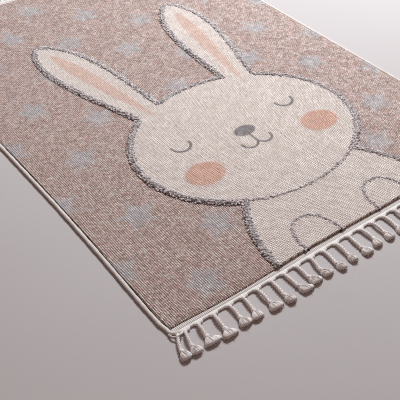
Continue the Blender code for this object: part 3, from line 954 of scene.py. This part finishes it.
def tassel_lie(index):
    """A tassel's place in LIES, or an evenly spaced root and a lie by chance."""
    from_end = TASSELS - 1 - index
    if from_end < CORNER_TASSELS:
        root, knot, tip, *others = LIES[from_end]
        return -root, -knot, -tip, *others
    if index < len(LIES):
        return LIES[index]
    last, corner = len(LIES) - 1, TASSELS - CORNER_TASSELS
    root = LIES[-1][0] + (-LIES[CORNER_TASSELS - 1][0] - LIES[-1][0]) * (index - last) / (corner - last)
    knot, tip = LEAN_MOST * scatter(index, 1), LEAN_MOST * scatter(index, 5)
    flare, stretch = 0.85 + 0.22 * scatter(index, 4), 0.95 + 0.08 * scatter(index, 3)
    return root, knot, tip, flare, stretch, 0.0024 + 0.0014 * scatter(index, 6)


ROOTS = np.array([tassel_lie(index)[0] for index in range(TASSELS)])


def tape_material():
    tape, fibre, cream = cotton("ribbed_tape_cotton", 1200.0, srgb(232, 223, 217), srgb(251, 246, 242))
    rib = (tape.x * (math.tau / TAPE_RIB_PITCH)).maths("COSINE") * 0.5 + 0.5
    inner = 1 - (abs(tape.y) + (HEM_Y - TAPE_WIDTH + ROLL_WIDTH)).smooth(-0.002, 0.001)
    # Painted shade: the valleys between the ribs on the flat part are darkened.
    rib_shaded = tape.mix((1 - rib) * inner * 0.55, cream, srgb(176, 160, 152), "MULTIPLY")
    # Painted shade in the groove along the seam.
    seam = 1 - (abs(abs(tape.y) - SEAM_Y)).smooth(0.0004, 0.0022)
    seam_shaded = tape.mix(seam * 0.55, rib_shaded, srgb(196, 178, 170), "MULTIPLY")
    return tape.finish(seam_shaded, rib * inner * 0.7 + fibre * 0.3, 0.0008)


TAPE_LOOK = tape_material()


def tape_section():
    """The tape's section as (across from the pile, height), once round."""
    middle, half_wide, half_high = TAPE_WIDTH - ROLL_WIDTH / 2, ROLL_WIDTH / 2, ROLL_HEIGHT / 2
    flat = middle - half_wide
    section = [(0.0, LOWEST), (0.0, TAPE_THICKNESS - 0.0006), (0.0008, TAPE_THICKNESS)]
    grooved = ((0.3, -0.0005), (0.5, 0), (0.72, 0), (0.90, -0.0011), (1, -0.0009))
    section += [(share * flat, TAPE_THICKNESS + rise) for share, rise in grooved]
    for degrees in range(150, -61, -30):
        angle = math.radians(degrees)
        section.append((middle + half_wide * math.cos(angle), half_high * (1 + math.sin(angle))))
    return section + [(middle, LOWEST)]


def tab(x):
    """1 where the roll stands out over a tassel's root and 0 between: it starts softly and ends in a step."""
    past = x - ROOTS
    return float((np.clip((past + 0.010) / 0.005, 0, 1) * np.clip((0.0145 - past) / 0.0016, 0, 1)).max())


def tape_mesh():
    section = tape_section()
    around = len(section)
    steps = round(PILE_WIDTH / TAPE_RIB_PITCH) * 4
    shape = bmesh.new()
    bmesh.ops.create_grid(shape, x_segments=steps, y_segments=around, size=0.5)
    for vert in shape.verts:
        x = vert.co.x * PILE_WIDTH
        across, up = section[round((vert.co.y + 0.5) * around) % around]
        rib = TAPE_RIB_DEPTH * math.cos(math.tau * x / TAPE_RIB_PITCH)
        out = min(max((across - TAPE_WIDTH + ROLL_WIDTH) / ROLL_WIDTH, 0.0), 1.0)
        if up > TAPE_THICKNESS / 2:
            up += rib * (1 - out) + TAB_RISE * out * tab(x)
        across += (TAB_REACH * tab(x) - TAB_RECESS) * out
        across += float(hem_wander(x)) * (1 - min(across / TAPE_WIDTH, 1))
        vert.co = Vector((x, HEM_Y - TAPE_GAP - across, max(up, LOWEST)))
    bmesh.ops.remove_doubles(shape, verts=shape.verts, dist=1e-6)
    bmesh.ops.holes_fill(shape, edges=[e for e in shape.edges if e.is_boundary], sides=0)
    bmesh.ops.recalc_face_normals(shape, faces=shape.faces)
    return mesh_of(shape, "tape")


# %% [markdown]
# ## The tassels
#
# Each tassel is a two-ply cord, a knot and a brush of loose yarn. Copying one tassel thirty times would
# look stamped, so a few different ones are made and each copy gets the lean, flare and length that its
# solid has. The plies are tubes along a helix; the brush is a soft core with fine yarns combed over it.

# %% One tassel
CORD_LENGTH, KNOT_LENGTH, BRUSH_LENGTH = 0.0480, 0.0080, 0.0240
ROOT_IN_TAPE = 0.0060
PLY_RADIUS, PLY_OFFSET, CORD_TURNS, PLY_SIDES, PLY_STEPS = 0.0026, 0.0026, 3.6, 8, 54
BOW_MOST = 0.0020
YARNS, YARN_RADIUS, YARN_STEPS = 84, 0.00090, 5
STRAYS, STRAY_RADIUS = 7, 0.00045
VARIANTS = 5
# The brush from knot to tip: share of its length, half width, height
BRUSH_SECTIONS = (
    (0.0, 0.0054, 0.0100), (0.12, 0.0088, 0.0120), (0.35, 0.0132, 0.0138),
    (0.68, 0.0156, 0.0140), (0.90, 0.0150, 0.0124), (1.0, 0.0132, 0.0104),
)


def brush_at(share):
    """The brush's half width and height at a share of its length."""
    shares, halves, heights = zip(*BRUSH_SECTIONS)
    return np.interp(share, shares, halves), np.interp(share, shares, heights)


CORD_MIDDLE = PLY_RADIUS + PLY_OFFSET + 0.0003
PLY_TUBE, KNOT_TUBE = straight_tube(PLY_SIDES, PLY_STEPS), straight_tube(6, 12)
CORE_TUBE, YARN_TUBE = straight_tube(14, 8), straight_tube(3, YARN_STEPS)
BRUSH_START = CORD_LENGTH + KNOT_LENGTH * 0.7


def ply(number, start_angle):
    """One of the cord's two plies, round and round its middle and thinner where it enters the tape."""
    share = np.linspace(0, 1, PLY_STEPS + 1)
    out = -ROOT_IN_TAPE + (CORD_LENGTH + KNOT_LENGTH * 0.3 + ROOT_IN_TAPE) * share
    size = np.interp(share, (0.0, 0.16), (0.6, 1.0))
    angle = start_angle + math.tau * CORD_TURNS * share + math.pi * number
    x, up = PLY_OFFSET * size * np.cos(angle), PLY_OFFSET * size * np.sin(angle)
    path = np.stack([x, -out, CORD_MIDDLE - 0.0012 * (1 - size) / 0.4 + up], axis=1)
    return PLY_TUBE, bent(PLY_TUBE, path, PLY_RADIUS * size), 0


def knot_turn(out, tilt, start_angle):
    """One tight turn of the cord round itself."""
    path = []
    for k in range(13):
        across, up = math.cos(math.tau * k / 12 + start_angle), math.sin(math.tau * k / 12 + start_angle)
        path.append((0.0040 * across, -out + 0.0040 * tilt * across, 0.0062 + 0.0036 * up))
    return KNOT_TUBE, bent(KNOT_TUBE, path, 0.0025, upright=(0, 1, 0)), 0


def brush_core():
    """The soft middle of the brush, which keeps the yarns over it from looking empty."""
    path, radii = [], []
    for k in range(9):
        half, high = brush_at(k / 8)
        path.append((0, -BRUSH_START - BRUSH_LENGTH * 0.95 * k / 8, high * 0.47))
        radii.append(half * (0.97 if k < 8 else 0.75))
    return CORE_TUBE, bent(CORE_TUBE, path, radii, 0.46), 0


def combed_yarn(chance, radius, longest):
    """One yarn of the brush, from the knot outwards over its core. Those at its sides end sooner."""
    angle = chance.uniform(0, math.pi)
    spread, lift = math.cos(angle), math.sin(angle) * chance.uniform(0.70, 1.05)
    length = chance.uniform(0.90, longest) * (1 - 0.16 * abs(spread) ** 3)
    share = np.linspace(0, 1, YARN_STEPS + 1)
    half, high = brush_at(np.minimum(share * length, 1.0))
    x = spread * half * (0.96 + 0.10 * share) + chance.normal(0, 0.0005, len(share)) * share
    z = 0.0012 + lift * (high - 0.0016) * np.interp(share, (0.0, 0.9, 1.0), (1.0, 1.0, 0.93))
    path = np.stack([x, -BRUSH_START - BRUSH_LENGTH * share * length, z], axis=1)
    return YARN_TUBE, bent(YARN_TUBE, path, radius * np.linspace(1.15, 0.75, len(share))), 0


def tassel_mesh(variant):
    chance = np.random.default_rng(40 + variant)
    turns = [(CORD_LENGTH + KNOT_LENGTH * (0.3 + 0.4 * k), chance.uniform(-0.5, 0.5), k) for k in (0, 1)]
    knot = [knot_turn(*turn) for turn in turns]
    yarns = [combed_yarn(chance, YARN_RADIUS, 1.06) for _ in range(YARNS)]
    strays = [combed_yarn(chance, STRAY_RADIUS, 1.30) for _ in range(STRAYS)]
    return joined("tassel", [ply(0, variant), ply(1, variant), *knot, brush_core(), *yarns, *strays])


# %% [markdown]
# ## Tassels on the tape
#
# The near end is made first. The far end does not show in the picture, so it is the same row of tassels
# turned half round, taking both ends to be finished alike.

# %% Both tasselled ends
def tassel_material():
    yarn, fibre, cream = cotton("tassel_cotton", 1500.0, srgb(240, 227, 222), srgb(255, 248, 245))
    # Painted shade: the brushes darken towards their tips.
    tip = (abs(yarn.y) - (TASSEL_TIP_Y - 0.020)).smooth(0.0, 0.022)
    return yarn.finish(yarn.mix(tip * 0.3, cream, srgb(190, 172, 166), "MULTIPLY"), fibre, 0.0006)


TASSEL_TIP_Y = -EDGE_Y + CORD_LENGTH + KNOT_LENGTH + BRUSH_LENGTH
TASSEL_LOOK = tassel_material()


def placed_tassel(local, index):
    """A tassel's points moved to its root, with the leans, arch, flare and length of its place."""
    root, knot_lean, tip_lean, flare, stretch, arch = tassel_lie(index)
    out = -local[:, 1]
    in_cord = np.clip(out / CORD_LENGTH, 0, 1)
    in_brush = np.clip((out - CORD_LENGTH) / (KNOT_LENGTH + BRUSH_LENGTH / 2), 0, 1)
    x = local[:, 0] * (1 + (flare - 1) * in_brush) + root
    x += knot_lean * in_cord + (tip_lean - knot_lean) * in_brush
    x += BOW_MOST * scatter(index, 2) * np.sin(math.pi * in_cord)
    y = EDGE_Y - out + np.clip(out, 0, CORD_LENGTH) * (1 - stretch)
    z = local[:, 2] + arch * np.sin(math.pi * in_cord)
    return np.stack([x, y, np.maximum(z, LOWEST)], axis=1)


def near_tassels():
    kinds = [tassel_mesh(v) for v in range(VARIANTS)]
    picked = [kinds[index * 3 % VARIANTS] for index in range(TASSELS)]
    parts = [(kind, placed_tassel(places(kind), index), index) for index, kind in enumerate(picked)]
    return joined("near_tassels", parts)


def turned_copy(mesh, name):
    """The same mesh for the far end, turned half round about the rug's middle."""
    copy = mesh.copy()
    copy.name = name
    copy.transform(Matrix.Rotation(math.pi, 4, "Z"))
    return copy


near_tape_mesh, near_tassel_mesh = tape_mesh(), near_tassels()
far_tape_mesh = turned_copy(near_tape_mesh, "far_tape")
far_tassel_mesh = turned_copy(near_tassel_mesh, "far_tassels")
near_tape = finished("near_tape", near_tape_mesh, [TAPE_LOOK])
far_tape = finished("far_tape", far_tape_mesh, [TAPE_LOOK])
near_row = finished("near_tassels", near_tassel_mesh, [TASSEL_LOOK])
far_row = finished("far_tassels", far_tassel_mesh, [TASSEL_LOOK])
for piece in (near_tape, near_row):
    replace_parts(piece, "near_tasselled_tape")
for piece in (far_tape, far_row):
    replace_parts(piece, "far_tasselled_tape")

# %% [markdown]
# ## One sheet of cloth
#
# The rug lies flat, so its cut size and its flat size are the same: the woven piece between its whipped
# sides and its tapes. Everything sewn to it or woven into it goes with it.

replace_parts(ground, "woven_rug")
print("sheet:", round(PILE_WIDTH, 4), "by", round(PILE_LENGTH, 4), "m")

# %% [markdown]
# ## Floor and light
#
# The rug lies on a plain pale floor. A large soft lamp stands behind it on the right, nearer the far end,
# so the floor fades from near white at the upper right to a warm grey at the near left, and every raised
# edge has its shade on the near left side. A dim sky fills the shadows.

# %% Floor
FLOOR_SIZE = 12.0


def floor_material():
    floor = Shader("pale_floor", 0.75, 0.0)
    colour = floor.ramp(floor.noise(1.5, 1.0), (0.3, srgb(194, 185, 183)), (0.7, srgb(198, 189, 187)))
    return floor.finish(colour, floor.noise(30.0, 1.0), 0.0002)


shape = bmesh.new()
bmesh.ops.create_grid(shape, x_segments=1, y_segments=1, size=FLOOR_SIZE / 2)
bmesh.ops.translate(shape, vec=(0, 0, -0.0004), verts=shape.verts)
floor = bpy.data.objects.new("floor", mesh_of(shape, "floor"))
floor.data.materials.append(floor_material())
bpy.context.scene.collection.objects.link(floor)
print("floor:", FLOOR_SIZE, "m square")


# %% Light
def area_light(name, place, target, size, power, colour):
    lamp = bpy.data.objects.new(name, bpy.data.lights.new(name, "AREA"))
    bpy.context.scene.collection.objects.link(lamp)
    lamp.data.shape = "SQUARE"
    lamp.data.size = size
    lamp.data.energy = power
    lamp.data.color = colour
    lamp.location = place
    lamp.rotation_euler = (Vector(place) - Vector(target)).to_track_quat("Z", "Y").to_euler()
    return lamp


area_light("window", (1.76, 1.02, 2.69), (-0.1, -0.2, 0.0), 0.85, 166.0, (0.850, 0.935, 0.985))
world = bpy.data.worlds.new("studio")
world.use_nodes = True
sky = world.node_tree.nodes["Background"]
sky.inputs["Color"].default_value = (1.0, 0.72, 0.64, 1.0)
sky.inputs["Strength"].default_value = 0.20
bpy.context.scene.world = world
bpy.context.scene.view_settings.view_transform = "Standard"
bpy.context.scene.cycles.denoising_prefilter = "NONE"  # keeps the single tufts, which are as small as a pixel
bpy.context.scene.cycles.filter_width = 1.1
